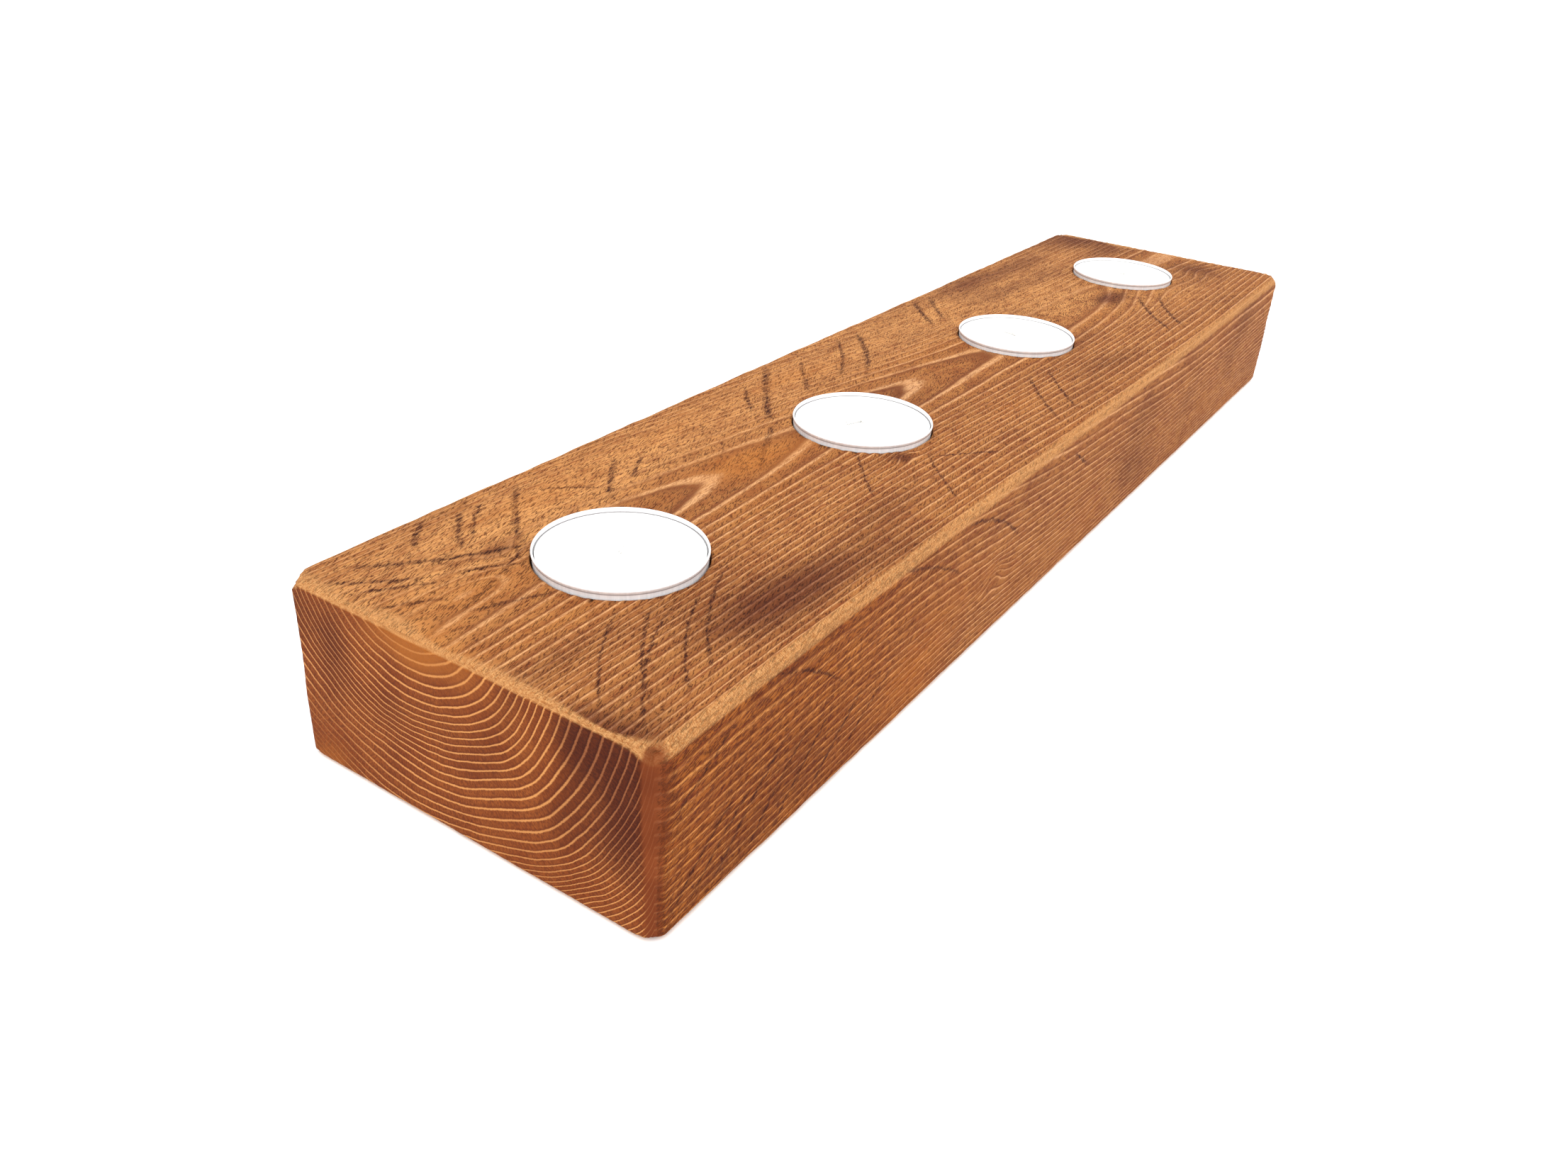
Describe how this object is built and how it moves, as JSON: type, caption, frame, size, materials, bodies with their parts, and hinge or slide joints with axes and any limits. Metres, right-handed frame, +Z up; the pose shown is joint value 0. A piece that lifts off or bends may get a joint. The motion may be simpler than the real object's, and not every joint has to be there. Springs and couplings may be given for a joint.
{
  "type": "tealight holder",
  "caption": "Long stained softwood block with broken edges and a row of round blind pockets in its top, each holding an aluminium-cup tealight that lifts out.",
  "frame": {"origin": "middle of the block's underside, on the surface that it stands on", "axes": "+X along the block from the first tealight towards the fourth, +Y across it, +Z up out of the pockets"},
  "size_m": [0.4, 0.097, 0.0462],
  "materials": {
    "stained_softwood": "satin",
    "cup_aluminium": "satin",
    "candle_wax": "satin",
    "wick_cotton": "matte",
    "sustainer_steel": "satin"
  },
  "bodies": {
    "block": {"timber_block": "stained_softwood"},
    "tealight_cup_1": {"cup_1": "cup_aluminium"},
    "candle_1": {"wax_1": "candle_wax", "sustainer_1": "sustainer_steel", "wick_1": "wick_cotton"},
    "tealight_cup_2": {"cup_2": "cup_aluminium"},
    "candle_2": {"wax_2": "candle_wax", "sustainer_2": "sustainer_steel", "wick_2": "wick_cotton"},
    "tealight_cup_3": {"cup_3": "cup_aluminium"},
    "candle_3": {"wax_3": "candle_wax", "sustainer_3": "sustainer_steel", "wick_3": "wick_cotton"},
    "tealight_cup_4": {"cup_4": "cup_aluminium"},
    "candle_4": {"wax_4": "candle_wax", "sustainer_4": "sustainer_steel", "wick_4": "wick_cotton"}
  },
  "joints": [
    {"name": "tealight_1_lift", "type": "slide", "parent": "block", "child": "tealight_cup_1", "axis": [0, 0, 1], "range_m": [0, 0.03]},
    {"name": "candle_1_lift", "type": "slide", "parent": "tealight_cup_1", "child": "candle_1", "axis": [0, 0, 1], "range_m": [0, 0.02]},
    {"name": "tealight_2_lift", "type": "slide", "parent": "block", "child": "tealight_cup_2", "axis": [0, 0, 1], "range_m": [0, 0.03]},
    {"name": "candle_2_lift", "type": "slide", "parent": "tealight_cup_2", "child": "candle_2", "axis": [0, 0, 1], "range_m": [0, 0.02]},
    {"name": "tealight_3_lift", "type": "slide", "parent": "block", "child": "tealight_cup_3", "axis": [0, 0, 1], "range_m": [0, 0.03]},
    {"name": "candle_3_lift", "type": "slide", "parent": "tealight_cup_3", "child": "candle_3", "axis": [0, 0, 1], "range_m": [0, 0.02]},
    {"name": "tealight_4_lift", "type": "slide", "parent": "block", "child": "tealight_cup_4", "axis": [0, 0, 1], "range_m": [0, 0.03]},
    {"name": "candle_4_lift", "type": "slide", "parent": "tealight_cup_4", "child": "candle_4", "axis": [0, 0, 1], "range_m": [0, 0.02]}
  ]
}
